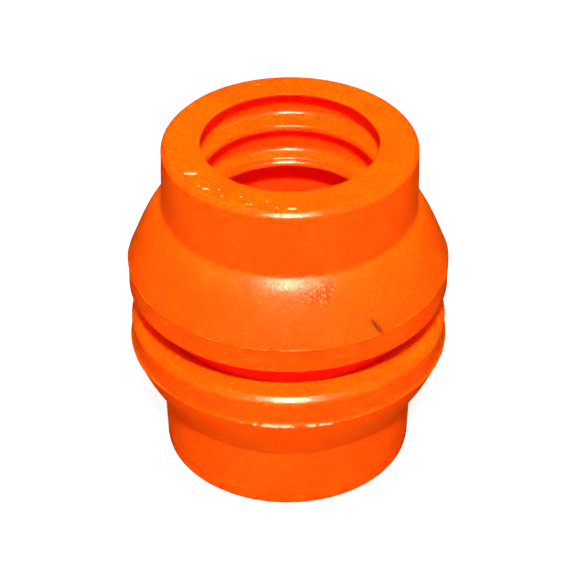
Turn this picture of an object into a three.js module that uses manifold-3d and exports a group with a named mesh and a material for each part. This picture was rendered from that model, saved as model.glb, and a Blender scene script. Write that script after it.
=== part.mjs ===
// Swivel sleeve coupling for round pipe: two elastic end sleeves, each snapped over a flange
// of a stiff centre ring. Millimetres, +Z up along the axis of the bore. The origin is the
// centre of the face that the coupling stands on.

import * as THREE from 'three';
import { mergeVertices } from 'three/addons/utils/BufferGeometryUtils.js';
import Module from 'manifold-3d';

const wasm = await Module();
wasm.setup();

// Driving dimensions of the whole coupling
const totalHeight = 84.5;
const neckRadius = 30;
const neckTopRadius = 29.8; // each neck has a slight draft
const creaseDepth = 16.7; // length of each neck, from its end face to the foot of the shoulder
const upperRimHeight = 46.9; // upper side of the groove round the waist
const lowerRimHeight = 38.8; // lower side of the groove
const waistRadius = 31; // floor of the groove
const boreRadius = 22; // clears a 42.4 mm pipe inside the centre ring
const runningGap = 0.3; // between a sleeve and the waist that turns in it
const seatGap = 0.2; // between two pieces that rest on each other

// Sealing ribs inside each mouth, as depths below the end face
const ribCrestRadius = 20.7;
const mouthLip = { edge: 0.5, root: 2.2 };
const ribs = [
  { troughRadius: 25, root: 7.7, kneeRadius: 21.15, knee: 8.95, crest: 9.4, foot: 10.3 },
  { troughRadius: 24.1, root: 17.5, kneeRadius: 21.5, knee: 18.85, crest: 20.05, foot: 20.4 },
];
const chamber = { radius: 28.6, straightDepth: 29.5, taperDepth: 33 };

// Swivel: a lip of the sleeve hooks behind the thrust ring and the flange, and a skirt lines the ring's bore
const lipThickness = 2.2;
const thrustRingHeight = 0.8;
const flangeThickness = 2.8;
const flangeRadius = 33.7;
const recessHeight = thrustRingHeight + flangeThickness + 3 * seatGap;
const skirt = { innerRadius: 27.6, outerRadius: 28.9, length: 4.3 };
const seal = { diameter: 1.4, centreRadius: 30.8 };
const leadInChamfer = 0.8;

// Pipe stop: a split ring sprung into a groove in the middle of the bore
const stopRing = { innerRadius: 19.2, outerRadius: 23, height: 2.6, split: 2.4, chamfer: 0.4 };

// Each sleeve is drawn mouth up, with depths measured down from its end face
const upperEnd = {
  rimDepth: totalHeight - upperRimHeight,
  rimRadius: 38,
  rimEdge: 0.6,
  partingDepth: 31.5,
  partingRadius: 38,
  shoulder: { radius: 33.7, depth: 19.8 },
  mouthEdge: 1.9,
};
const lowerEnd = {
  rimDepth: lowerRimHeight,
  rimRadius: 37.75,
  rimEdge: 2.2,
  partingDepth: 31,
  partingRadius: 38.25,
  shoulder: { radius: 33.4, depth: 20.5 },
  mouthEdge: 1.4,
};

const facets = 40;
const curveSteps = 4;
const waistHeight = (upperRimHeight + lowerRimHeight) / 2;
const flangeFoot = (upperRimHeight - lowerRimHeight) / 2 + lipThickness + thrustRingHeight + 2 * seatGap;

const orangeElastomer = { color: 0xf85f06, roughness: 0.35, metalness: 0 };
const orangePlastic = { color: 0xe84a08, roughness: 0.45, metalness: 0 };
const blackRubber = { color: 0x1b1b1c, roughness: 0.7, metalness: 0 };
const whiteAcetal = { color: 0xe6e4dc, roughness: 0.4, metalness: 0 };

// Turns a closed outline, drawn anticlockwise as (radius, height), round the axis
function ringGeometry(outline) {
  const smallestStep = 1e-4;
  const points = outline.getPoints(curveSteps);
  const corners = points.filter((point, i) => i === 0 || point.distanceTo(points[i - 1]) > smallestStep);
  if (corners.at(-1).distanceTo(corners[0]) < smallestStep) {
    corners.pop();
  }
  corners.push(corners[0].clone());
  return new THREE.LatheGeometry(corners, facets);
}

function polygonOutline(corners) {
  const outline = new THREE.Path();
  outline.moveTo(...corners[0]);
  for (const corner of corners.slice(1)) {
    outline.lineTo(...corner);
  }
  return outline;
}

// The lathe turns about Y, so a mouth-up ring is stood on Z and a mouth-down one is turned over
function ringMesh(name, geometry, finish, height, turnedOver = false) {
  const mesh = new THREE.Mesh(geometry, new THREE.MeshStandardMaterial(finish));
  mesh.name = name;
  mesh.rotation.x = turnedOver ? -Math.PI / 2 : Math.PI / 2;
  mesh.position.z = height;
  return mesh;
}

function drawOuterSkin(outline, end) {
  const rimCentre = end.rimRadius - end.rimEdge;
  outline.moveTo(rimCentre, -end.rimDepth);
  outline.absarc(rimCentre, end.rimEdge - end.rimDepth, end.rimEdge, -Math.PI / 2, 0, false);
  outline.lineTo(end.partingRadius, -end.partingDepth);
  outline.quadraticCurveTo(end.shoulder.radius, -end.shoulder.depth, neckRadius, -creaseDepth);
  outline.lineTo(neckTopRadius, -end.mouthEdge);
  outline.absarc(neckTopRadius - end.mouthEdge, -end.mouthEdge, end.mouthEdge, 0, Math.PI / 2, false);
}

function drawSealingRibs(outline) {
  outline.lineTo(ribCrestRadius, 0);
  outline.lineTo(ribCrestRadius, -mouthLip.edge);
  outline.lineTo(ribs[0].troughRadius, -mouthLip.root);
  ribs.forEach((rib, i) => {
    const roomBelow = ribs[i + 1]?.troughRadius ?? chamber.radius;
    outline.lineTo(rib.troughRadius, -rib.root);
    outline.lineTo(rib.kneeRadius, -rib.knee);
    outline.lineTo(ribCrestRadius, -rib.crest);
    outline.lineTo(ribCrestRadius, -rib.foot);
    outline.lineTo(roomBelow, -rib.foot);
  });
}

function drawSwivelRecess(outline, end) {
  const seatDepth = end.rimDepth - lipThickness;
  const ceilingDepth = seatDepth - recessHeight;
  const skirtDepth = ceilingDepth + skirt.length;
  const recessRadius = flangeRadius + runningGap;
  const lipRadius = waistRadius + runningGap;
  outline.lineTo(chamber.radius, -chamber.straightDepth);
  outline.lineTo(skirt.innerRadius, -chamber.taperDepth);
  outline.lineTo(skirt.innerRadius, -skirtDepth);
  outline.lineTo(skirt.outerRadius, -skirtDepth);
  outline.lineTo(skirt.outerRadius, -ceilingDepth);
  outline.lineTo(recessRadius, -ceilingDepth);
  outline.lineTo(recessRadius, -seatDepth);
  outline.lineTo(lipRadius, -seatDepth);
  outline.lineTo(lipRadius, -end.rimDepth);
}

function sleeveGeometry(end) {
  const outline = new THREE.Path();
  drawOuterSkin(outline, end);
  drawSealingRibs(outline);
  drawSwivelRecess(outline, end);
  return ringGeometry(outline);
}

// The centre ring is the same above and below the middle of the groove
function centreRingGeometry() {
  const flangeTop = flangeFoot + flangeThickness;
  const sealSeat = flangeTop - seatGap - seal.diameter;
  const sealGrooveHalf = seal.diameter / 2 + seatGap;
  const counterboreRadius = skirt.outerRadius + seatGap;
  const shelf = flangeTop + seatGap - skirt.length - runningGap;
  const stopGroove = stopRing.height / 2 + seatGap;
  const upperHalf = [
    [waistRadius, flangeFoot],
    [flangeRadius, flangeFoot],
    [flangeRadius, flangeTop],
    [seal.centreRadius + sealGrooveHalf, flangeTop],
    [seal.centreRadius + sealGrooveHalf, sealSeat],
    [seal.centreRadius - sealGrooveHalf, sealSeat],
    [seal.centreRadius - sealGrooveHalf, flangeTop],
    [counterboreRadius, flangeTop],
    [counterboreRadius, shelf],
    [boreRadius + leadInChamfer, shelf],
    [boreRadius, shelf - leadInChamfer],
    [boreRadius, stopGroove],
    [stopRing.outerRadius + seatGap, stopGroove],
  ];
  const lowerHalf = upperHalf.toReversed().map(([radius, height]) => [radius, -height]);
  return ringGeometry(polygonOutline([...upperHalf, ...lowerHalf]));
}

function thrustRingGeometry() {
  const inner = waistRadius + runningGap;
  const outer = flangeRadius;
  return ringGeometry(polygonOutline([
    [outer, 0],
    [outer, thrustRingHeight],
    [inner, thrustRingHeight],
    [inner, 0],
  ]));
}

function sealRingGeometry() {
  const outline = new THREE.Path();
  outline.absarc(seal.centreRadius, 0, seal.diameter / 2, 0, 2 * Math.PI, false);
  return ringGeometry(outline);
}

function toManifold(geometry) {
  const bare = geometry.clone();
  bare.deleteAttribute('normal');
  bare.deleteAttribute('uv');
  const welded = mergeVertices(bare, 1e-4);
  return new wasm.Manifold(new wasm.Mesh({
    numProp: 3,
    vertProperties: new Float32Array(welded.attributes.position.array),
    triVerts: new Uint32Array(welded.index.array),
  }));
}

function fromManifold(solid) {
  const cut = solid.getMesh();
  const geometry = new THREE.BufferGeometry();
  geometry.setAttribute('position', new THREE.BufferAttribute(cut.vertProperties, 3));
  geometry.setIndex(new THREE.BufferAttribute(cut.triVerts, 1));
  geometry.computeVertexNormals();
  return geometry;
}

// Split ring: the slit lets it close up and snap into its groove
function stopRingGeometry() {
  const { innerRadius, outerRadius, height, split, chamfer } = stopRing;
  const half = height / 2;
  const whole = ringGeometry(polygonOutline([
    [outerRadius, -half],
    [outerRadius, half],
    [innerRadius + chamfer, half],
    [innerRadius, half - chamfer],
    [innerRadius, chamfer - half],
    [innerRadius + chamfer, -half],
  ]));
  const slit = new THREE.BoxGeometry(outerRadius, 2 * height, split);
  slit.translate(-outerRadius, 0, 0);
  return fromManifold(toManifold(whole).subtract(toManifold(slit)));
}

// The thrust ring lies on the lip of its sleeve, and the seal in the flange's groove below the recess's ceiling
function upperSwivelPieces() {
  const lipTop = upperRimHeight + lipThickness;
  const sealHeight = lipTop + recessHeight - seatGap - seal.diameter / 2;
  return [
    ringMesh('upper_thrust_ring', thrustRingGeometry(), whiteAcetal, lipTop + seatGap),
    ringMesh('upper_seal_ring', sealRingGeometry(), blackRubber, sealHeight),
  ];
}

function lowerSwivelPieces() {
  const lipTop = lowerRimHeight - lipThickness;
  const sealHeight = lipTop - recessHeight + seatGap + seal.diameter / 2;
  return [
    ringMesh('lower_thrust_ring', thrustRingGeometry(), whiteAcetal, lipTop - seatGap, true),
    ringMesh('lower_seal_ring', sealRingGeometry(), blackRubber, sealHeight, true),
  ];
}

const coupling = new THREE.Group();
coupling.add(
  ringMesh('upper_sleeve', sleeveGeometry(upperEnd), orangeElastomer, totalHeight),
  ringMesh('lower_sleeve', sleeveGeometry(lowerEnd), orangeElastomer, 0, true),
  ringMesh('centre_ring', centreRingGeometry(), orangePlastic, waistHeight),
  ringMesh('pipe_stop_ring', stopRingGeometry(), whiteAcetal, waistHeight),
  ...upperSwivelPieces(),
  ...lowerSwivelPieces(),
);

export default coupling;
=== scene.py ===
import math

import bpy
import numpy as np
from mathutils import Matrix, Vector


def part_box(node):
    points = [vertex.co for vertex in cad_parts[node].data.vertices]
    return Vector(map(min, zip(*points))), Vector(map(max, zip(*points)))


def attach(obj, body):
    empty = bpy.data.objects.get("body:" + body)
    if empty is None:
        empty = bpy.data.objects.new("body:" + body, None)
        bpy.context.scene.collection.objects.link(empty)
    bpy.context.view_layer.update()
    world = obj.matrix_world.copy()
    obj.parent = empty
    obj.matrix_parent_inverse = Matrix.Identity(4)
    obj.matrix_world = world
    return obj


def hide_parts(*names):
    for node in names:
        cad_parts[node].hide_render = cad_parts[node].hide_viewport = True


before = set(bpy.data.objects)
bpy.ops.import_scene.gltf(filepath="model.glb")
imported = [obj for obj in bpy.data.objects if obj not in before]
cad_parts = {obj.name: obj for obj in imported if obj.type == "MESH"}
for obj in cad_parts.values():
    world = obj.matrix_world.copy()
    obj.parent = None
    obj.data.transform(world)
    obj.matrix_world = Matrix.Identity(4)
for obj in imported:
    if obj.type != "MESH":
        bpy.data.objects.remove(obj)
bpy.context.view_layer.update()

MM = 0.001

# ---------------------------------------------------------------- sizes, from the CAD frame
UPPER_LOW, UPPER_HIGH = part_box("upper_sleeve")
LOWER_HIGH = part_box("lower_sleeve")[1]
RING_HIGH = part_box("centre_ring")[1]
STOP_LOW, STOP_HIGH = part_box("pipe_stop_ring")
SEAL_LOW, SEAL_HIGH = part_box("upper_seal_ring")
THRUST_LOW, THRUST_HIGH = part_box("upper_thrust_ring")

TOTAL_HEIGHT = UPPER_HIGH.z
WAIST_HEIGHT = (UPPER_LOW.z + LOWER_HIGH.z) / 2
FLANGE_RADIUS = RING_HIGH.x
THRUST_HEIGHT = THRUST_HIGH.z - THRUST_LOW.z
SEAL_DIAMETER = SEAL_HIGH.z - SEAL_LOW.z
SEAL_CENTRE_RADIUS = SEAL_HIGH.x - SEAL_DIAMETER / 2

# ---------------------------------------------------------------- sizes inside the pieces
NECK_RADIUS = 30 * MM
NECK_TOP_RADIUS = 29.8 * MM  # each neck has a slight draft
CREASE_DEPTH = 16.7 * MM  # from an end face to the foot of the shoulder
WAIST_RADIUS = 31 * MM
BORE_RADIUS = 22 * MM
RUNNING_GAP = 0.3 * MM
VISIBLE_GAP = 0.02 * MM  # between a sleeve and the waist, narrow so that no dark slit shows
SEAT_GAP = 0.2 * MM
STOP_INNER_RADIUS = 19.2 * MM
STOP_SPLIT = 2.4 * MM
LIP_THICKNESS = 2.2 * MM
FLANGE_THICKNESS = 2.8 * MM
RECESS_HEIGHT = THRUST_HEIGHT + FLANGE_THICKNESS + 3 * SEAT_GAP
SKIRT_INNER = 27.6 * MM
SKIRT_OUTER = 28.9 * MM
SKIRT_LENGTH = 4.3 * MM

# Fillets, and the shape of the mould's parting line
TINY = 0.1 * MM
SMALL = 0.3 * MM
FEW_STEPS_BELOW = 0.35 * MM  # a fillet smaller than this gets FEW_STEPS
FEW_STEPS = 2
FILLET_STEPS = 6
SHOULDER_STEPS = 24
SHORTEST_STEP = 1e-7
PARTING_HALF = 0.15 * MM  # half the height of the band that the parting line stands on
PARTING_SKIN_RADIUS = 36 * MM  # only the widest part of a sleeve lies outside this

# Each mouth, as depths below its end face. A nose is a run of (radius, depth, fillet) corners.
CREST_RADIUS = 20.7 * MM
CHAMBER_RADIUS = 28.6 * MM
CHAMBER_STRAIGHT_DEPTH = 29.5 * MM
CHAMBER_TAPER_DEPTH = 33 * MM
LIP_EDGE_DEPTH = 0.5 * MM
LIP_ROOT_DEPTH = 2.2 * MM
RIB_ROOT_FILLET = 1.6 * MM
RIBS = (
    {
        "trough_radius": 25 * MM,
        "root": 7.7 * MM,
        "nose": ((21.1 * MM, 9 * MM, 0.8 * MM), (CREST_RADIUS, 9.8 * MM, 0.5 * MM)),
        "foot": 10.3 * MM,
        "fillet_below": 0.8 * MM,
    },
    {
        "trough_radius": 24.1 * MM,
        "root": 17.5 * MM,
        "nose": (
            (21.6 * MM, 18.6 * MM, 0.9 * MM),
            (21.3 * MM, 19.3 * MM, 0.4 * MM),
            (20.8 * MM, 19.8 * MM, 0.5 * MM),
        ),
        "foot": 20.4 * MM,
        "fillet_below": 1.2 * MM,
    },
)

# How far each mouth leans towards +X
UPPER_LEAN = 0.36 * MM
LOWER_LEAN = -0.15 * MM

# The outside of each sleeve, drawn mouth up
UPPER = {
    "rim_depth": TOTAL_HEIGHT - UPPER_LOW.z,
    "rim_radius": 38 * MM,
    "rim_bevel": 0.25 * MM,
    "parting_depth": 31.5 * MM,
    "parting_radius": 38 * MM,
    "shoulder": (33.7 * MM, 19.8 * MM),
    "mouth_bevel": 1.2 * MM,
    "crease_fillet": 1.5 * MM,
    "flare": 0.0,
}
LOWER = {
    "rim_depth": LOWER_HIGH.z,
    "rim_radius": 37.85 * MM,
    "rim_bevel": 1.55 * MM,
    "parting_depth": 31 * MM,
    "parting_radius": 37.8 * MM,
    "shoulder": (33.4 * MM, 20.5 * MM),
    "mouth_bevel": 0.7 * MM,
    "crease_fillet": 3 * MM,
    "flare": 0.5 * MM,
}


# ---------------------------------------------------------------- outlines
def circle(centre, radius, count):
    """Points round a circle in the (radius, height) plane."""
    angles = [2 * math.pi * i / count for i in range(count)]
    return [(centre[0] + radius * math.cos(a), centre[1] + radius * math.sin(a)) for a in angles]


def bezier(start, control, end, steps):
    """Points on a quadratic curve, both ends included."""
    points = []
    for t in np.linspace(0, 1, steps + 1):
        a, b, c = (1 - t) ** 2, 2 * t * (1 - t), t * t
        points.append((
            a * start[0] + b * control[0] + c * end[0],
            a * start[1] + b * control[1] + c * end[1],
        ))
    return points


def filleted(corners):
    """An outline from (radius, height, fillet) corners: each fillet becomes a short curve."""
    outline = []
    count = len(corners)
    for i, (r, z, fillet) in enumerate(corners):
        here = Vector((r, z))
        if fillet <= 0:
            outline.append((r, z))
            continue
        before = Vector(corners[i - 1][:2]) - here
        after = Vector(corners[(i + 1) % count][:2]) - here
        reach = min(fillet, before.length * 0.48, after.length * 0.48)
        start = here + before.normalized() * reach
        end = here + after.normalized() * reach
        outline += bezier(start, here, end, FEW_STEPS if fillet < FEW_STEPS_BELOW else FILLET_STEPS)
    return outline


def densify(outline, longest):
    """Splits the steps of a closed outline that are longer than longest(radius, height) allows."""
    dense = []
    for i, point in enumerate(outline):
        following = outline[(i + 1) % len(outline)]
        length = math.dist(point, following)
        if length < SHORTEST_STEP:
            continue
        parts = max(1, math.ceil(length / longest(*point)))
        for k in range(parts):
            t = k / parts
            dense.append((
                point[0] + (following[0] - point[0]) * t,
                point[1] + (following[1] - point[1]) * t,
            ))
    return dense


def soft_bevel(radius, z, leg, upward):
    """A bevel with well rounded corners, where the face at z meets the wall at radius.

    upward is 1 where the wall stands above the face, and -1 where it hangs below it.
    """
    fillet = 0.46 * leg
    inner = (radius - leg, z, fillet)
    outer = (radius, z + upward * leg, fillet)
    return [inner, outer] if upward > 0 else [outer, inner]


def sleeve_skin(end):
    """Outside of a sleeve from its rim up to its end face, mouth up, heights from the end face."""
    rim_z = -end["rim_depth"]
    part_z = -end["parting_depth"]
    part_radius = end["parting_radius"]
    skin = soft_bevel(end["rim_radius"], rim_z, end["rim_bevel"], 1)
    if end["flare"] > 0:
        below = 0.8 * MM
        skin.append((part_radius - 0.1 * MM, part_z - end["flare"] - below, below))
    flared = part_radius + 0.4 * end["flare"]
    skin.append((flared, part_z - PARTING_HALF, TINY / 2))
    shoulder = (end["shoulder"][0], -end["shoulder"][1])
    foot = (NECK_RADIUS + 1.1 * MM, -CREASE_DEPTH - MM)
    curve = bezier((flared, part_z + PARTING_HALF), shoulder, foot, SHOULDER_STEPS)
    skin += [(r, z, 0) for r, z in curve]
    skin.append((NECK_RADIUS, -CREASE_DEPTH + 0.2 * MM, end["crease_fillet"]))
    skin.append((NECK_RADIUS, -CREASE_DEPTH / 2, 4 * MM))
    skin.append((NECK_TOP_RADIUS, -end["mouth_bevel"] - 2.4 * MM, 1.5 * MM))
    skin += soft_bevel(NECK_TOP_RADIUS, 0, end["mouth_bevel"], -1)
    return skin


def mouth_corners():
    """The wiper lip, the sealing ribs and the chamber below them, as (radius, height, fillet)."""
    corners = [
        (CREST_RADIUS, 0, 0.06 * MM),
        (CREST_RADIUS, -LIP_EDGE_DEPTH, TINY),
        (RIBS[0]["trough_radius"], -LIP_ROOT_DEPTH, 0.8 * MM),
    ]
    rooms_below = [rib["trough_radius"] for rib in RIBS[1:]] + [CHAMBER_RADIUS]
    for rib, room_below in zip(RIBS, rooms_below):
        corners.append((rib["trough_radius"], -rib["root"], RIB_ROOT_FILLET))
        corners += [(r, -depth, fillet) for r, depth, fillet in rib["nose"]]
        corners.append((CREST_RADIUS, -rib["foot"], TINY))
        corners.append((room_below, -rib["foot"] - 0.1 * MM, rib["fillet_below"]))
    corners.append((CHAMBER_RADIUS, -CHAMBER_STRAIGHT_DEPTH, 2.5 * MM))
    corners.append((SKIRT_INNER, -CHAMBER_TAPER_DEPTH, 1.5 * MM))
    return corners


def recess_corners(end):
    """The skirt that lines the centre ring and the recess that hooks over its flange."""
    rim_z = -end["rim_depth"]
    seat_z = rim_z + LIP_THICKNESS
    ceiling_z = seat_z + RECESS_HEIGHT
    skirt_z = ceiling_z - SKIRT_LENGTH
    outer = FLANGE_RADIUS + RUNNING_GAP
    inner = WAIST_RADIUS + RUNNING_GAP
    return [
        (SKIRT_INNER, skirt_z, SMALL),
        (SKIRT_OUTER, skirt_z, SMALL),
        (SKIRT_OUTER, ceiling_z, TINY),
        (outer, ceiling_z, TINY),
        (outer, seat_z, TINY),
        (inner, seat_z, TINY),
        (inner, rim_z, TINY / 2),
    ]


def sleeve_outline(end):
    """Closed outline of a sleeve, mouth up, with heights measured from its end face."""
    def longest(r, z):
        """Shortest steps on the parting line, short ones on the skin and the two flat faces."""
        on_parting_line = abs(z + end["parting_depth"]) < 0.9 * MM
        if on_parting_line and r > NECK_RADIUS + 4 * MM:
            return 0.1 * MM
        on_flat_face = z > -0.1 * MM or z < 0.1 * MM - end["rim_depth"]
        if on_flat_face or r > NECK_TOP_RADIUS - 2 * MM:
            return 0.9 * MM
        return 2 * MM

    return densify(filleted(sleeve_skin(end) + mouth_corners() + recess_corners(end)), longest)


def centre_ring_outline():
    """Closed outline of the centre ring, the same above and below its middle."""
    top = RING_HIGH.z - WAIST_HEIGHT
    foot = top - FLANGE_THICKNESS
    seal_seat = top - SEAT_GAP - SEAL_DIAMETER
    groove_reach = SEAL_DIAMETER / 2 + SEAT_GAP
    counterbore = SKIRT_OUTER + SEAT_GAP
    shelf = top + SEAT_GAP - SKIRT_LENGTH - RUNNING_GAP
    chamfer = 0.8 * MM
    stop_groove = (STOP_HIGH.z - STOP_LOW.z) / 2 + SEAT_GAP
    waist = WAIST_RADIUS + RUNNING_GAP - VISIBLE_GAP
    upper = [
        (waist, foot, SMALL),
        (FLANGE_RADIUS, foot, SMALL),
        (FLANGE_RADIUS, top, SMALL),
        (SEAL_CENTRE_RADIUS + groove_reach, top, TINY),
        (SEAL_CENTRE_RADIUS + groove_reach, seal_seat, TINY),
        (SEAL_CENTRE_RADIUS - groove_reach, seal_seat, TINY),
        (SEAL_CENTRE_RADIUS - groove_reach, top, TINY),
        (counterbore, top, TINY),
        (counterbore, shelf, TINY),
        (BORE_RADIUS + chamfer, shelf, SMALL),
        (BORE_RADIUS, shelf - chamfer, SMALL),
        (BORE_RADIUS, stop_groove, TINY),
        (STOP_HIGH.x + SEAT_GAP, stop_groove, TINY),
    ]
    lower = [(r, -z, fillet) for r, z, fillet in reversed(upper)]
    return densify(filleted(upper + lower), lambda r, z: 2 * MM)


# ---------------------------------------------------------------- mesh code
PLAIN_COLUMNS = 240
FINE_STEP = 0.45  # degrees between the columns in the sector that faces -Y
COARSE_STEP = 1.6
FRONT_SECTOR = 26  # half of that sector, in degrees


def wave(angles, seed, slowest, fastest, fade):
    """A smooth random wave round the part, of about unit height, the same on every run."""
    random = np.random.default_rng(seed)
    total = np.zeros_like(angles)
    weight = 0.0
    for k in range(slowest, fastest + 1):
        size = k ** -fade
        total += size * np.sin(k * angles + random.uniform(0, 2 * math.pi))
        weight += size * size
    return total / math.sqrt(weight)


def turn_angles(fine_sector):
    """Column angles round +Z from the +X axis, closer together in the sector that faces -Y."""
    if fine_sector == 0:
        return np.radians(np.linspace(-90, 270, PLAIN_COLUMNS + 1))[:-1]
    fine_columns = int(fine_sector * 2 / FINE_STEP)
    coarse_columns = int((360 - 2 * fine_sector) / COARSE_STEP)
    fine = np.linspace(-90 - fine_sector, -90 + fine_sector, fine_columns + 1)
    coarse = np.linspace(-90 + fine_sector, 270 - fine_sector, coarse_columns + 1)
    return np.radians(np.concatenate([fine, coarse[1:-1]]))


def split_ring_angles(gap):
    """Column angles of a ring that is split at the -X axis; gap in radians."""
    return math.pi + np.linspace(gap / 2, 2 * math.pi - gap / 2, PLAIN_COLUMNS + 1)


def ring_faces(columns, rows, split):
    """Quads between neighbouring columns, with an end cap on each side of a split."""
    spans = columns - 1 if split else columns
    i, j = np.meshgrid(np.arange(spans), np.arange(rows), indexing="ij")
    after, above = (i + 1) % columns, (j + 1) % rows
    corners = [i * rows + j, after * rows + j, after * rows + above, i * rows + above]
    faces = np.stack(corners, axis=-1).reshape(-1, 4).tolist()
    if split:
        faces.append(list(range(rows)))
        faces.append([(columns - 1) * rows + k for k in reversed(range(rows))])
    return faces


def mesh_piece(name, vertices, faces):
    mesh = bpy.data.meshes.new(name)
    mesh.from_pydata(vertices, [], faces)
    mesh.validate()
    mesh.shade_smooth()
    piece = bpy.data.objects.new(name, mesh)
    bpy.context.scene.collection.objects.link(piece)
    return piece


def lathe(name, outline, base, flipped=False, relief=None, fine_sector=0, gap=0.0):
    """Turns a closed outline round +Z, its zero at the height base; flipped=True turns it upside down.

    relief(angles, radii, heights) returns how far each point moves outward and towards +X.
    """
    profile = np.array(outline)
    if flipped:
        profile = profile[::-1]
    angles = split_ring_angles(gap) if gap else turn_angles(fine_sector)
    a = angles[:, None]
    radii = np.repeat(profile[None, :, 0], len(angles), axis=0)
    own_heights = np.repeat(profile[None, :, 1], len(angles), axis=0)
    lean = np.zeros_like(radii)
    if relief is not None:
        outward, lean = relief(a, radii, own_heights)
        radii = radii + outward
    heights = base + (-own_heights if flipped else own_heights)
    points = np.stack([radii * np.cos(a) + lean, radii * np.sin(a), heights], axis=-1)
    return mesh_piece(name, points.reshape(-1, 3).tolist(), ring_faces(*radii.shape, split=gap > 0))


def place(piece, body, node, material):
    piece.data.materials.append(material)
    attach(piece, body)
    if node:
        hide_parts(node)


def bell(away, width):
    return np.exp(-(away / width) ** 2)


def near_front(angles, centre, half_width):
    """1 in a sector of the side that faces -Y, fading to 0; centre and half_width in degrees."""
    away = (np.degrees(angles) + 90 - centre + 180) % 360 - 180
    return bell(away, half_width)


def smooth_step(values):
    t = np.clip(values, 0, 1)
    return t * t * (3 - 2 * t)


def mouth_lean(heights, shift):
    """Sideways shift that grows along the shoulder and is the same all along the neck."""
    return shift * smooth_step((heights + 22 * MM) / (10 * MM))


def on_the_outside(end, radii, heights):
    """True on the outer skin of a sleeve; nothing inside reaches the smallest radius given here."""
    beside_neck = heights > -CREASE_DEPTH - 0.5 * MM
    beside_recess = heights < -25 * MM
    smallest = np.where(beside_neck, NECK_TOP_RADIUS - 2.5 * MM, NECK_RADIUS)
    smallest = np.where(beside_recess, 35 * MM, smallest)
    clear_of_rim = heights > -end["rim_depth"] + 0.3 * MM
    return (radii > smallest) & clear_of_rim


def upper_relief(angles, radii, heights):
    """A fine broken parting line, slight unevenness, and a neck that leans a little to +X."""
    uneven = 0.05 * MM * wave(angles + heights * 40, 3, 2, 9, 0.8)
    front = near_front(angles, 0, 16)
    broken = front * wave(angles, 5, 9, 120, 0.2) + (1 - front) * wave(angles, 6, 5, 26, 0.2)
    line = np.clip(0.13 * MM + 0.08 * MM * broken, 0.02 * MM, 0.25 * MM)
    parting = line * bell(heights + UPPER["parting_depth"], 0.17 * MM)
    parting = parting * (radii > PARTING_SKIN_RADIUS)
    outside = on_the_outside(UPPER, radii, heights)
    return np.where(outside, uneven + parting, 0), mouth_lean(heights, UPPER_LEAN)


def lower_relief(angles, radii, heights):
    """A parting ridge that is lumpy and torn at the front, a swollen shoulder and a slight lean to -X."""
    uneven = 0.04 * MM * wave(angles + heights * 40, 13, 2, 9, 0.8)
    ragged = near_front(angles, 3, 15)
    lumps = 0.16 * MM * wave(angles, 17, 20, 70, 0.2) + 0.08 * MM * wave(angles, 19, 90, 260, 0.1)
    proud = 0.2 * MM + ragged * lumps + 0.03 * MM * wave(angles, 21, 4, 24, 0.2)
    proud = np.clip(proud, 0.02 * MM, 0.24 * MM)
    line = LOWER["parting_depth"] + ragged * 0.2 * MM * wave(angles, 23, 14, 160, 0.3)
    width = 0.4 * MM + 0.12 * MM * ragged * wave(angles, 29, 20, 120, 0.3)
    ridge = proud * bell(heights + line, width) * (radii > PARTING_SKIN_RADIUS)
    swell = 0.15 * MM * np.clip((heights + 30.5 * MM) / (2 * MM), 0, 1)
    swell = swell + 0.25 * MM * bell(heights + 25 * MM, 4 * MM)
    outside = on_the_outside(LOWER, radii, heights)
    return np.where(outside, uneven + ridge + swell, 0), mouth_lean(heights, LOWER_LEAN)


# ---------------------------------------------------------------- materials
# Painted light and shade: lit and shaded copies of the orange, chosen by which way a surface faces, less
# red on the outside, and darker in the chamber.
UNDER_PAINTED_SHADE_ORANGE = (0.95, 0.066, 0.0008)
WALL_PAINTED_SHADE_ORANGE = (0.96, 0.082, 0.001)
FACE_PAINTED_LIGHT_ORANGE = (0.97, 0.141, 0.0012)
OUTER_UNDER_PAINTED_SHADE_ORANGE = (0.56, 0.072, 0.0014)
OUTER_WALL_PAINTED_SHADE_ORANGE = (0.64, 0.082, 0.0016)
CHAMBER_PAINTED_SHADE_ORANGE = (0.97, 0.062, 0.0008)
MOTTLE_RED = (0.93, 0.03, 0.0005)
SPECK_ORANGE = (1.0, 0.3, 0.08)
# Pale chips, partly stress-whitened elastomer and partly painted glints.
CHIP_PAINTED_GLINT_ORANGE = (1.0, 0.45, 0.25)
SCUFF_BROWN = (0.1, 0.016, 0.004)
# Painted shade round each pit and a painted glint in its middle.
PIT_PAINTED_SHADE_RED = (0.7, 0.04, 0.0005)
PIT_PAINTED_GLINT = (1.0, 0.36, 0.1)
# Painted glow of the centre ring, which is no lamp.
RING_PAINTED_GLOW = (1.0, 0.01, 0.004, 1)
SPECULAR_TINT = (1.0, 0.78, 0.52, 1)
RED_REACHES_FURTHEST = (1.0, 0.025, 0.01)
PARTING_HEIGHTS = {"upper": TOTAL_HEIGHT - UPPER["parting_depth"], "lower": LOWER["parting_depth"]}


def new_material(name):
    material = bpy.data.materials.new(name)
    material.use_nodes = True
    tree = material.node_tree
    return material, tree, tree.nodes["Principled BSDF"]


def link(tree, source, target):
    tree.links.new(source, target)


def object_point(tree):
    return tree.nodes.new("ShaderNodeTexCoord").outputs["Object"]


def noise_node(tree, scale, detail, roughness=0.5):
    texture = tree.nodes.new("ShaderNodeTexNoise")
    texture.inputs["Scale"].default_value = scale
    texture.inputs["Detail"].default_value = detail
    texture.inputs["Roughness"].default_value = roughness
    link(tree, object_point(tree), texture.inputs["Vector"])
    return texture.outputs["Fac"]


def math_node(tree, operation, first, second=0.0):
    node = tree.nodes.new("ShaderNodeMath")
    node.operation = operation
    for socket, value in zip(node.inputs, (first, second)):
        if isinstance(value, (int, float)):
            socket.default_value = value
        else:
            link(tree, value, socket)
    return node.outputs["Value"]


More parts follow.
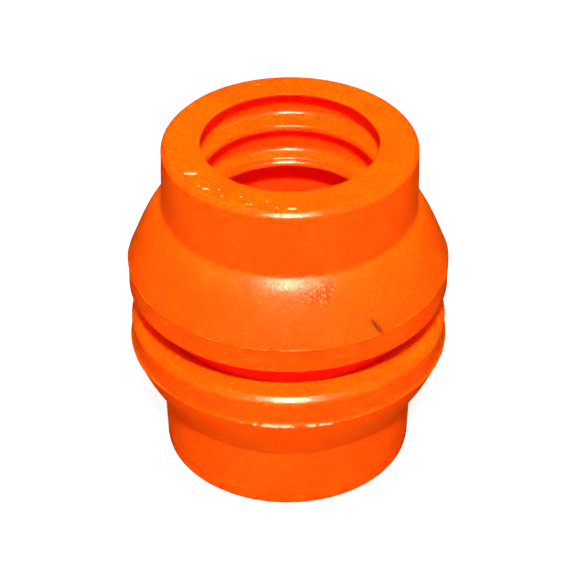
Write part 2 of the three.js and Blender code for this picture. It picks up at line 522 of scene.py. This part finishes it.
def remap(tree, source, low, high, to_low=0.0, to_high=1.0):
    """Smooth step from to_low, at low or less, to to_high, at high or more."""
    node = tree.nodes.new("ShaderNodeMapRange")
    node.interpolation_type = "SMOOTHSTEP"
    node.inputs["From Min"].default_value = low
    node.inputs["From Max"].default_value = high
    node.inputs["To Min"].default_value = to_low
    node.inputs["To Max"].default_value = to_high
    link(tree, source, node.inputs["Value"])
    return node.outputs["Result"]


def mix_colour(tree, mask, first, second):
    node = tree.nodes.new("ShaderNodeMix")
    node.data_type = "RGBA"
    link(tree, mask, node.inputs["Factor"])
    for socket, value in ((node.inputs["A"], first), (node.inputs["B"], second)):
        if isinstance(value, tuple):
            socket.default_value = (*value, 1)
        else:
            link(tree, value, socket)
    return node.outputs["Result"]


def blob_mask(tree, centre, turn, radii, soft=0.4):
    """1 inside an ellipsoid on the object, 0 outside, with a soft edge."""
    mapping = tree.nodes.new("ShaderNodeMapping")
    mapping.vector_type = "TEXTURE"
    mapping.inputs["Location"].default_value = centre
    mapping.inputs["Rotation"].default_value = turn
    mapping.inputs["Scale"].default_value = radii
    link(tree, object_point(tree), mapping.inputs["Vector"])
    length = tree.nodes.new("ShaderNodeVectorMath")
    length.operation = "LENGTH"
    link(tree, mapping.outputs["Vector"], length.inputs[0])
    return remap(tree, length.outputs["Value"], 1 - soft, 1 + soft, 1, 0)


def distance(tree, source, value):
    return math_node(tree, "ABSOLUTE", math_node(tree, "SUBTRACT", source, value))


def times(tree, first, second):
    return math_node(tree, "MULTIPLY", first, second)


def radius_and_distance_from_waist(tree):
    parts = tree.nodes.new("ShaderNodeSeparateXYZ")
    link(tree, object_point(tree), parts.inputs["Vector"])
    across = times(tree, parts.outputs["X"], parts.outputs["X"])
    along = times(tree, parts.outputs["Y"], parts.outputs["Y"])
    radius = math_node(tree, "SQRT", math_node(tree, "ADD", across, along))
    return radius, distance(tree, parts.outputs["Z"], WAIST_HEIGHT)


def on_skin(azimuth, radius, height):
    """A point on the part's outside; azimuth 0 faces -Y and 90 faces +X."""
    a = math.radians(azimuth)
    return (radius * math.sin(a), -radius * math.cos(a), height)


def scattered_cells(tree, cells_per_metre, share):
    """Random cells, of which a share is chosen: (distance from each cell's middle, 1 where chosen)."""
    texture = tree.nodes.new("ShaderNodeTexVoronoi")
    texture.inputs["Scale"].default_value = cells_per_metre
    link(tree, object_point(tree), texture.inputs["Vector"])
    shade = tree.nodes.new("ShaderNodeSeparateColor")
    link(tree, texture.outputs["Color"], shade.inputs["Color"])
    chosen = math_node(tree, "LESS_THAN", shade.outputs["Red"], share)
    return texture.outputs["Distance"], chosen


def speck_mask(tree, cells_per_metre, size, share):
    """Small round specks of dust and mould grit, scattered at random."""
    from_middle, chosen = scattered_cells(tree, cells_per_metre, share)
    return times(tree, chosen, remap(tree, from_middle, size * 0.6, size, 1, 0))


def pit_glint_and_shade_masks(tree):
    """Grains of a pitted patch on the upper shoulder: (pale middle of each grain, where a glint is painted;
    dark rim, where shade is painted).
    """
    patch_centre = on_skin(11.6, 32.5 * MM, 65.2 * MM)
    patch = blob_mask(tree, patch_centre, (0, 0, 0), (4.1 * MM, 4.1 * MM, 2.9 * MM))
    from_middle, chosen = scattered_cells(tree, 1400, 0.75)
    patch = times(tree, patch, chosen)
    pale = times(tree, patch, remap(tree, from_middle, 0.22, 0.4, 1, 0))
    rim = times(tree, patch, remap(tree, from_middle, 0.42, 0.58))
    return pale, rim


def painted_light_by_facing(tree, under, wall, face):
    """Painted light and shade by facing: a shaded colour on undersides, a less shaded one on upright walls
    and a lit one on surfaces that face up.
    """
    coordinates = tree.nodes.new("ShaderNodeTexCoord")
    parts = tree.nodes.new("ShaderNodeSeparateXYZ")
    link(tree, coordinates.outputs["Normal"], parts.inputs["Vector"])
    lower_half = mix_colour(tree, remap(tree, parts.outputs["Z"], -0.7, 0), under, wall)
    return mix_colour(tree, remap(tree, parts.outputs["Z"], 0, 1), lower_half, face)


def elastomer_colour(tree):
    """Orange with painted light and shade: lit on faces that look up, shaded on walls and undersides,
    shaded further on the outside and darker in the chamber; with fine mottling and specks.
    """
    radius, from_waist = radius_and_distance_from_waist(tree)
    # Painted shade: the outside walls and undersides get a less red copy of the orange than the inside
    # ones.
    colour = mix_colour(
        tree, remap(tree, radius, 28.9 * MM, 29.3 * MM),
        painted_light_by_facing(tree, UNDER_PAINTED_SHADE_ORANGE, WALL_PAINTED_SHADE_ORANGE, FACE_PAINTED_LIGHT_ORANGE),
        painted_light_by_facing(tree, OUTER_UNDER_PAINTED_SHADE_ORANGE, OUTER_WALL_PAINTED_SHADE_ORANGE, FACE_PAINTED_LIGHT_ORANGE),
    )
    # Painted shade: darker orange in the chamber below the ribs.
    chamber = times(
        tree,
        remap(tree, radius, 28.9 * MM, 29.1 * MM, 1, 0),
        remap(tree, from_waist, 20.8 * MM, 21.4 * MM, 1, 0),
    )
    colour = mix_colour(tree, chamber, colour, CHAMBER_PAINTED_SHADE_ORANGE)
    cloudy = remap(tree, noise_node(tree, 60, 3), 0.35, 0.65, 0, 0.2)
    colour = mix_colour(tree, cloudy, colour, MOTTLE_RED)
    fine = remap(tree, noise_node(tree, 1500, 2), 0.35, 0.65, 0, 0.45)
    colour = mix_colour(tree, fine, colour, MOTTLE_RED)
    return mix_colour(tree, speck_mask(tree, 330, 0.05, 0.06), colour, SPECK_ORANGE)


def with_chips_and_painted_glints(tree, colour):
    """Pale chips along the torn front of the lower parting ridge: partly stress-whitened elastomer, partly
    painted glints where the ridge catches the light.
    """
    ridge_front = on_skin(1, 38.2 * MM, PARTING_HEIGHTS["lower"])
    chips = times(
        tree,
        blob_mask(tree, ridge_front, (0, 0, 0), (12 * MM, 4 * MM, 0.5 * MM)),
        remap(tree, noise_node(tree, 700, 3), 0.47, 0.57),
    )
    return mix_colour(tree, chips, colour, CHIP_PAINTED_GLINT_ORANGE)


def with_scuff_and_painted_pit_shading(tree, colour):
    """A dark slanting scuff, and a patch of pits on the front of the upper sleeve with painted glints in
    their middles and painted shade round them.
    """
    scuff_centre = on_skin(32.5, 37.5 * MM, 55 * MM)
    slant = (0, -0.54, 0.55)
    scuff = blob_mask(tree, scuff_centre, slant, (0.6 * MM, 3 * MM, 2.4 * MM), soft=0.55)
    scuff = times(tree, scuff, remap(tree, noise_node(tree, 1500, 2), 0.3, 0.6, 0.4, 0.95))
    colour = mix_colour(tree, scuff, colour, SCUFF_BROWN)
    pale, rim = pit_glint_and_shade_masks(tree)
    # Painted shade round the pits, then painted glints in their middles.
    colour = mix_colour(tree, times(tree, rim, 0.8), colour, PIT_PAINTED_SHADE_RED)
    return mix_colour(tree, times(tree, pale, 0.85), colour, PIT_PAINTED_GLINT)


def elastomer_polish(tree, side):
    """Share of polish: full in the mouth and on the parting line, part on the end's edge and the rim."""
    radius, from_waist = radius_and_distance_from_waist(tree)
    inside = remap(tree, radius, 27.6 * MM, 28.2 * MM, 1, 0)
    off_line = distance(tree, from_waist, abs(PARTING_HEIGHTS[side] - WAIST_HEIGHT))
    outermost = remap(tree, radius, PARTING_SKIN_RADIUS, PARTING_SKIN_RADIUS + MM)
    on_line = times(tree, remap(tree, off_line, 0.3 * MM, 0.7 * MM, 1, 0), outermost)
    end_edge = remap(tree, from_waist, 38.4 * MM, 39.4 * MM, 0, 0.65)
    rim = remap(tree, from_waist, 6.6 * MM, 7.4 * MM, 0.6, 0)
    polish = inside
    for share in (on_line, end_edge, rim):
        polish = math_node(tree, "MAXIMUM", polish, share)
    return polish


def sleeve_material(side):
    """Glossy cast polyurethane: polished in the mouth and on the parting line, satin elsewhere."""
    material, tree, shader = new_material(side + "_sleeve_orange")
    add_marks = {"upper": with_scuff_and_painted_pit_shading, "lower": with_chips_and_painted_glints}[side]
    link(tree, add_marks(tree, elastomer_colour(tree)), shader.inputs["Base Color"])

    roughness = remap(tree, elastomer_polish(tree, side), 0, 1, 0.34, 0.2)
    uneven = remap(tree, noise_node(tree, 160, 4), 0.3, 0.7, -0.02, 0.03)
    link(tree, math_node(tree, "ADD", roughness, uneven), shader.inputs["Roughness"])

    peel = remap(tree, noise_node(tree, 380, 3), 0, 1)
    grain = remap(tree, noise_node(tree, 2600, 2), 0, 1, 0, 0.5)
    relief = math_node(tree, "ADD", peel, grain)
    if side == "upper":
        relief = math_node(tree, "ADD", relief, times(tree, pit_glint_and_shade_masks(tree)[0], 2.5))
    bump = tree.nodes.new("ShaderNodeBump")
    bump.inputs["Strength"].default_value = 1.0
    bump.inputs["Distance"].default_value = 0.07 * MM
    link(tree, relief, bump.inputs["Height"])
    link(tree, bump.outputs["Normal"], shader.inputs["Normal"])

    make_translucent(shader, 7 * MM)
    return material


def make_translucent(shader, reach):
    """Red light travels far through the elastomer, green and blue light hardly at all."""
    shader.inputs["Subsurface Weight"].default_value = 1.0
    shader.inputs["Subsurface Radius"].default_value = RED_REACHES_FURTHEST
    shader.inputs["Subsurface Scale"].default_value = reach
    shader.inputs["IOR"].default_value = 1.5
    shader.inputs["Specular Tint"].default_value = SPECULAR_TINT


def plain_moulding(name, dark, light, roughness):
    material, tree, shader = new_material(name)
    mottle = remap(tree, noise_node(tree, 200, 4), 0.3, 0.7)
    link(tree, mix_colour(tree, mottle, dark, light), shader.inputs["Base Color"])
    uneven = remap(tree, noise_node(tree, 600, 3), 0.3, 0.7, roughness - 0.05, roughness + 0.05)
    link(tree, uneven, shader.inputs["Roughness"])
    return material


def ring_material():
    """Deep red elastomer with a painted glow: the ring shows only inside the shaded groove, so its deep red
    is painted shade and its emission a painted glow for the red light that shines through the sleeves.
    """
    material = plain_moulding("ring_red_painted_glow", (0.96, 0.006, 0.001), (0.97, 0.01, 0.001), 0.4)
    shader = material.node_tree.nodes["Principled BSDF"]
    make_translucent(shader, 3 * MM)
    # Painted glow: an emission, though the ring is no lamp.
    shader.inputs["Emission Color"].default_value = RING_PAINTED_GLOW
    shader.inputs["Emission Strength"].default_value = 0.14
    shader.inputs["Specular IOR Level"].default_value = 0.25
    return material


UPPER_MATERIAL = sleeve_material("upper")
LOWER_MATERIAL = sleeve_material("lower")
RING_MATERIAL = ring_material()
# Painted highlight: the ticks are paler than the end face round them, for the light that their raised edges
# catch.
MARK_PAINTED_HIGHLIGHT_MATERIAL = plain_moulding("mould_mark_painted_highlight", (1.0, 0.3, 0.1), (1.0, 0.38, 0.15), 0.25)
SEAL_MATERIAL = plain_moulding("seal_black", (0.015, 0.015, 0.016), (0.03, 0.03, 0.032), 0.6)
ACETAL_MATERIAL = plain_moulding("acetal_white", (0.72, 0.7, 0.64), (0.8, 0.78, 0.72), 0.4)


# ---------------------------------------------------------------- pieces
def make_sleeves():
    upper = lathe(
        "upper_sleeve_moulding", sleeve_outline(UPPER), TOTAL_HEIGHT,
        relief=upper_relief, fine_sector=FRONT_SECTOR,
    )
    place(upper, "upper_end", "upper_sleeve", UPPER_MATERIAL)
    lower = lathe(
        "lower_sleeve_moulding", sleeve_outline(LOWER), 0,
        flipped=True, relief=lower_relief, fine_sector=FRONT_SECTOR,
    )
    place(lower, "lower_end", "lower_sleeve", LOWER_MATERIAL)


def mould_marks():
    """Plain ticks and dots on the upper end face, as (azimuth in degrees, radius, length, width)."""
    marks = [
        (-59, 26.1 * MM, 3 * MM, 0.8 * MM),
        (-44, 27.2 * MM, 1.3 * MM, 0.7 * MM),
        (1, 27.4 * MM, 2 * MM, 0.8 * MM),
        (-163, 26 * MM, 0.5 * MM, 0.5 * MM),
    ]
    random = np.random.default_rng(7)
    for azimuth in np.linspace(-49, -6, 9):
        radius = random.choice([25.2, 27.2]) + random.uniform(-0.4, 0.4)
        turned = azimuth + random.uniform(-2, 2)
        marks.append((turned, radius * MM, 0.4 * MM, random.uniform(0.3, 0.55) * MM))
    return marks


def make_mould_marks():
    vertices, faces = [], []
    for azimuth, radius, length, width in mould_marks():
        x, y, z = on_skin(azimuth, radius, TOTAL_HEIGHT)
        add_tick(vertices, faces, (x + UPPER_LEAN, y, z), length, width, 0.22 * MM)
    piece = mesh_piece("upper_mould_marks", vertices, faces)
    place(piece, "upper_end", None, MARK_PAINTED_HIGHLIGHT_MATERIAL)


def add_tick(vertices, faces, centre, length, width, height):
    """A low closed mound, its long side along X, whose foot is sunk into the face below it."""
    around, rings = 20, 5
    x, y, z = centre
    start = len(vertices)
    straight = max(length - width, 0) / 2
    for k in range(rings):
        climb = math.pi / 2 * (k - 1) / (rings - 1)
        reach, top = width / 2 * math.cos(climb), height * math.sin(climb)
        for i in range(around):
            a = 2 * math.pi * (i + 0.5) / around
            side = straight if math.cos(a) > 0 else -straight
            vertices.append((x + side + reach * math.cos(a), y + reach * math.sin(a), z + top))
    for k in range(rings - 1):
        for i in range(around):
            j = (i + 1) % around
            low, high = start + k * around, start + (k + 1) * around
            faces.append((low + i, low + j, high + j, high + i))
    faces.append(tuple(start + (rings - 1) * around + i for i in range(around)))
    faces.append(tuple(start + i for i in reversed(range(around))))


def make_centre():
    ring = lathe("centre_ring_moulding", centre_ring_outline(), WAIST_HEIGHT)
    place(ring, "centre", "centre_ring", RING_MATERIAL)
    half = (STOP_HIGH.z - STOP_LOW.z) / 2
    stop_outline = filleted([
        (STOP_HIGH.x, -half, SMALL),
        (STOP_HIGH.x, half, SMALL),
        (STOP_INNER_RADIUS, half, 0.5 * MM),
        (STOP_INNER_RADIUS, -half, 0.5 * MM),
    ])
    stop = lathe("pipe_stop_spring_ring", stop_outline, WAIST_HEIGHT, gap=STOP_SPLIT / STOP_HIGH.x)
    place(stop, "centre", "pipe_stop_ring", ACETAL_MATERIAL)


def make_seals_and_thrust_rings():
    seal_outline = circle((SEAL_CENTRE_RADIUS, 0), SEAL_DIAMETER / 2, 24)
    inner = WAIST_RADIUS + RUNNING_GAP
    thrust_outline = filleted([
        (FLANGE_RADIUS, 0, 2 * TINY),
        (FLANGE_RADIUS, THRUST_HEIGHT, 2 * TINY),
        (inner, THRUST_HEIGHT, 2 * TINY),
        (inner, 0, 2 * TINY),
    ])
    for side in ("upper", "lower"):
        low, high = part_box(side + "_seal_ring")
        seal = lathe(side + "_o_ring", seal_outline, (low.z + high.z) / 2)
        place(seal, "centre", side + "_seal_ring", SEAL_MATERIAL)
        low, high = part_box(side + "_thrust_ring")
        thrust = lathe(side + "_thrust_washer", thrust_outline, low.z)
        place(thrust, side + "_end", side + "_thrust_ring", ACETAL_MATERIAL)


# ---------------------------------------------------------------- stage
CAMERA_ELEVATION = 36.373
CAMERA_REACH = 548.6 * MM
CAMERA_TARGET = Vector((-0.07 * MM, 0, 42.675 * MM))
LAMP_REACH = 1.2


def make_floor():
    half = 3.0
    corners = [(-half, -half, 0), (half, -half, 0), (half, half, 0), (-half, half, 0)]
    floor = mesh_piece("floor", corners, [(0, 1, 2, 3)])
    material, _, shader = new_material("floor_white")
    shader.inputs["Base Color"].default_value = (0.35, 0.35, 0.35, 1)
    shader.inputs["Roughness"].default_value = 0.8
    shader.inputs["Emission Color"].default_value = (1, 1, 1, 1)
    shader.inputs["Emission Strength"].default_value = 0.85
    floor.data.materials.append(material)
    floor.location.z = -0.1 * MM
    floor.visible_glossy = False


def make_world(strength):
    world = bpy.data.worlds.new("studio")
    world.use_nodes = True
    background = world.node_tree.nodes["Background"]
    background.inputs["Color"].default_value = (1, 1, 1, 1)
    background.inputs["Strength"].default_value = strength
    world.cycles_visibility.glossy = False
    bpy.context.scene.world = world


def polar(azimuth, elevation, reach, centre):
    """A point at that reach from centre. Azimuth 0 is on the -Y side and 90 on the +X side."""
    a, e = math.radians(azimuth), math.radians(elevation)
    out = Vector((math.sin(a) * math.cos(e), -math.cos(a) * math.cos(e), math.sin(e)))
    return centre + out * reach


def aim(thing, target):
    thing.rotation_mode = "QUATERNION"
    thing.rotation_quaternion = (target - thing.location).to_track_quat("-Z", "Y")


def make_lamp(name, azimuth, elevation, size, watts, glossy=False):
    data = bpy.data.lights.new(name, "AREA")
    data.shape = "DISK"
    data.size = size
    data.energy = watts
    lamp = bpy.data.objects.new(name, data)
    bpy.context.scene.collection.objects.link(lamp)
    centre = Vector((0, 0, TOTAL_HEIGHT / 2))
    lamp.location = polar(azimuth, elevation, LAMP_REACH, centre)
    aim(lamp, centre)
    lamp.visible_glossy = glossy


def make_lamps():
    """A small key lamp and a weak softbox in front, which show in reflections, and two fills behind."""
    make_lamp("key", azimuth=1, elevation=50.5, size=0.1, watts=27, glossy=True)
    make_lamp("front_softbox", azimuth=1, elevation=31, size=0.22, watts=0.5, glossy=True)
    make_lamp("left_back_fill", azimuth=-130, elevation=45, size=0.8, watts=3)
    make_lamp("right_back_fill", azimuth=130, elevation=45, size=0.8, watts=3)


def make_camera():
    data = bpy.data.cameras.new("camera")
    data.sensor_width = 36
    data.lens = 142.7
    data.clip_start = 0.05
    data.clip_end = 20
    camera = bpy.data.objects.new("camera", data)
    bpy.context.scene.collection.objects.link(camera)
    camera.location = polar(0, CAMERA_ELEVATION, CAMERA_REACH, CAMERA_TARGET)
    aim(camera, CAMERA_TARGET)
    bpy.context.scene.camera = camera


make_camera()
make_sleeves()
make_mould_marks()
make_centre()
make_seals_and_thrust_rings()
make_floor()
make_world(0.1)
make_lamps()
bpy.context.scene.view_settings.view_transform = "Standard"
